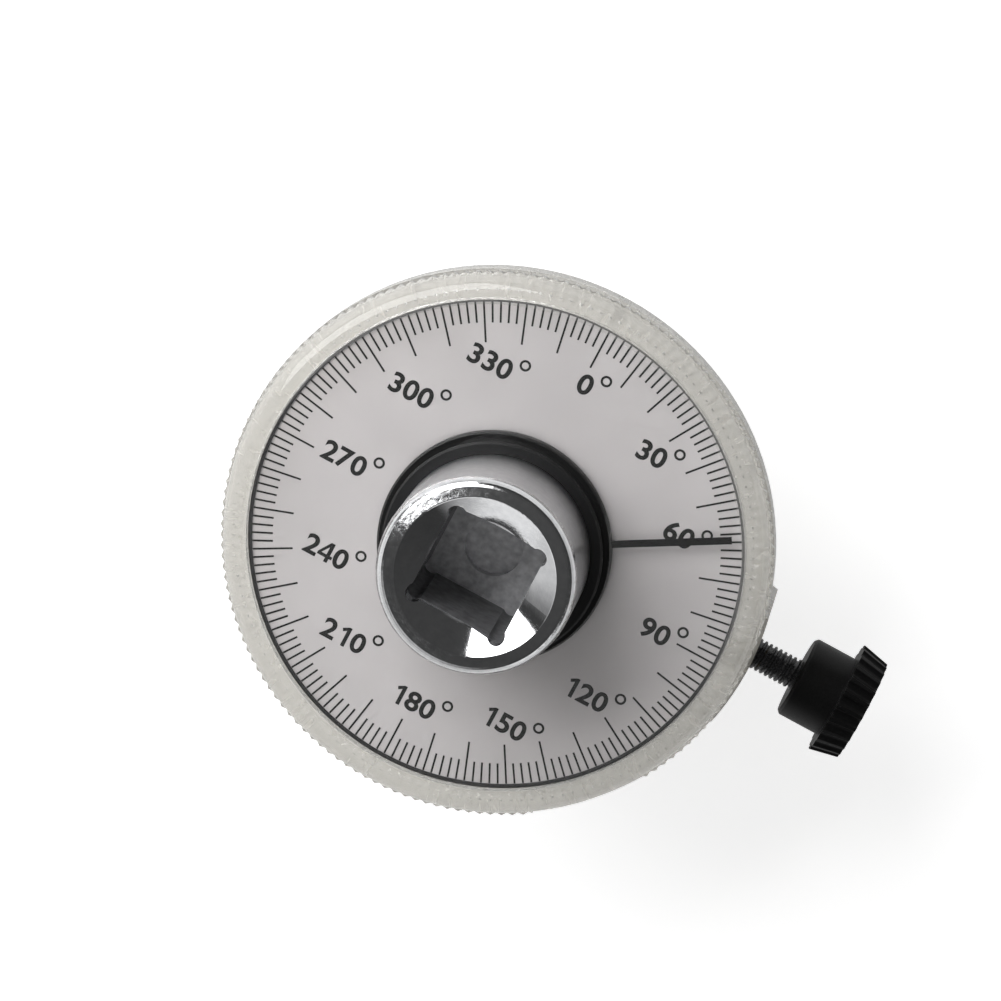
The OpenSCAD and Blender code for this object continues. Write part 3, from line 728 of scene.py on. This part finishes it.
# Clamp knob
# A black moulded knob with a plain hub and a serrated flange, moulded on the stud.
# Its sharp edges are broken by a small bevel, as a moulding's are.
knob_edge = 0.18
knob_sharp = math.radians(28.0)
knob_black = finish("knob_moulding", (0.005, 0.005, 0.005), 0.42)
shader_of(knob_black).inputs["Specular IOR Level"].default_value = 0.18
knob_skin = grain(knob_black, 0.18, 4.0)
knob_share = spread(knob_black, knob_skin, 0.0, 1.0)
feed(knob_black, blend(knob_black, knob_share, (0.003, 0.003, 0.003), (0.007, 0.007, 0.007)), "Base Color")
feed(knob_black, spread(knob_black, knob_skin, 0.34, 0.52), "Roughness")
relief(knob_black, knob_skin, 0.015)
knob_mesh = nodes["clamp_knob"].data.copy()
merged = bmesh.new()
merged.from_mesh(knob_mesh)
bmesh.ops.remove_doubles(merged, verts=merged.verts, dist=0.002 * MM)
bmesh.ops.dissolve_limit(merged, angle_limit=math.radians(0.4), verts=merged.verts, edges=merged.edges)
for face in merged.faces:
    face.smooth = True
merged.to_mesh(knob_mesh)
merged.free()
if "custom_normal" in knob_mesh.attributes:
    knob_mesh.attributes.remove(knob_mesh.attributes["custom_normal"])
knob_mesh.name = "moulded_knob"
knob = bpy.data.objects.new("moulded_knob", knob_mesh)
scene.collection.objects.link(knob)
knob_mesh.materials.clear()
knob_mesh.materials.append(knob_black)
knob_mesh.set_sharp_from_angle(angle=knob_sharp)
bevel = knob.modifiers.new("broken_edges", "BEVEL")
bevel.width = knob_edge * MM
bevel.segments = 2
bevel.limit_method = "ANGLE"
bevel.angle_limit = knob_sharp
bevel.harden_normals = True
bevel.use_clamp_overlap = True
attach(knob, "clamp_screw")
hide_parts("clamp_knob")

# Floor
# A plain pale table top.
# It is white to the camera, pale in reflections, and keeps the soft shadow.
floor_half = 3
seen_glow = 0.68
mirrored_glow = 0.3
floor_mesh = bpy.data.meshes.new("floor")
floor_corners = [(x * floor_half, y * floor_half, 0) for x, y in ((-1, -1), (1, -1), (1, 1), (-1, 1))]
floor_mesh.from_pydata(floor_corners, [], [(0, 1, 2, 3)])
floor = bpy.data.objects.new("floor", floor_mesh)
scene.collection.objects.link(floor)
table = finish("table_top", (0.8, 0.8, 0.8), 0.9)
rays = node(table, "ShaderNodeLightPath").outputs
mirrored = sums(table, "MINIMUM", sums(table, "ADD", rays["Is Glossy Ray"], rays["Is Transmission Ray"]), 1.0)
shader_of(table).inputs["Emission Color"].default_value = (1, 1, 1, 1)
seen_part = sums(table, "MULTIPLY", rays["Is Camera Ray"], seen_glow)
mirrored_part = sums(table, "MULTIPLY", mirrored, mirrored_glow)
feed(table, sums(table, "ADD", seen_part, mirrored_part), "Emission Strength")
floor_mesh.materials.append(table)

# Studio light
# One soft box from the upper left, a weak panel overhead that leaves no glint, and a room dimmer on the right.
# A pale band at the level of the eye is the backdrop behind the table, for the camera and for reflections alike.
lit_spot = Vector((0, 0, 0.035))


def lamp(name, energy, place):
    """An area lamp at this place, turned towards the object."""
    light = bpy.data.lights.new(name, "AREA")
    light.energy = energy
    holder = bpy.data.objects.new(name, light)
    holder.location = place
    holder.rotation_euler = (lit_spot - holder.location).to_track_quat("-Z", "Y").to_euler()
    scene.collection.objects.link(holder)
    return holder


soft_box = lamp("soft_box", 3.05, (-0.388, 0.193, 0.375))
soft_box.data.shape = "RECTANGLE"
soft_box.data.size, soft_box.data.size_y = 0.55, 0.38
fill_panel = lamp("fill_panel", 0.66, (-0.05, -0.2, 0.64))
fill_panel.data.size = 0.6
fill_panel.visible_glossy = False

room = bpy.data.worlds.new("studio")
scene.world = room
room.use_nodes = True
sky = room.node_tree
back = sky.nodes["Background"]
look = sky.nodes.new("ShaderNodeTexCoord").outputs["Generated"]
bright_side = (-0.40, -0.90, -1.2)
side = step(sky, "ShaderNodeVectorMath", ((0, look), (1, bright_side)), operation="DOT_PRODUCT")
shade = step(sky, "ShaderNodeMapRange", (
    ("From Min", 0.1), ("From Max", 0.6), ("To Min", 0.03), ("To Max", 0.7), ("Value", side.outputs["Value"]),
))
high = step(sky, "ShaderNodeSeparateXYZ", ((0, look),)).outputs[2]
zenith = step(
    sky, "ShaderNodeMath", ((0, high), (1, 0.05), (2, shade.outputs["Result"])),
    operation="MULTIPLY_ADD", use_clamp=True,
)
off_level = step(sky, "ShaderNodeMath", ((0, high),), operation="ABSOLUTE")
horizon = step(sky, "ShaderNodeMapRange", (
    ("From Min", 0.12), ("From Max", 0.16), ("To Min", 1.0), ("To Max", 0.0), ("Value", off_level.outputs[0]),
))
paler = calc(sky, "MAXIMUM", zenith.outputs[0], horizon.outputs["Result"])
sky.links.new(paler, back.inputs["Strength"])
back.inputs["Color"].default_value = (1, 1, 1, 1)
scene.view_settings.view_transform = "Standard"

# Camera
# It stands at the photograph's angle, high above the 0 degree side and rolled.
# The dial is about in the middle of the frame.
aim = Vector((-2.088, 5.238, dial_z)) * MM
azimuth, elevation, roll = math.radians(5.101), math.radians(75.345), math.radians(-146.637)
distance = 516.85 * MM
focal_px, frame_px = 4123.03, 1001
across = math.cos(elevation)
towards = Vector((across * math.sin(azimuth), across * math.cos(azimuth), math.sin(elevation)))
level = (-towards).cross(Vector((0, 0, 1))).normalized()
upright = level.cross(-towards)
right = level * math.cos(roll) + upright * math.sin(roll)
up = upright * math.cos(roll) - level * math.sin(roll)
view = bpy.data.cameras.new("camera")
view.sensor_width = 36
view.lens = view.sensor_width * focal_px / frame_px
view.clip_start = 0.01
camera = bpy.data.objects.new("camera", view)
scene.collection.objects.link(camera)
stand = Matrix((right, up, towards)).transposed().to_4x4()
stand.translation = aim + towards * distance
camera.matrix_world = stand
scene.camera = camera
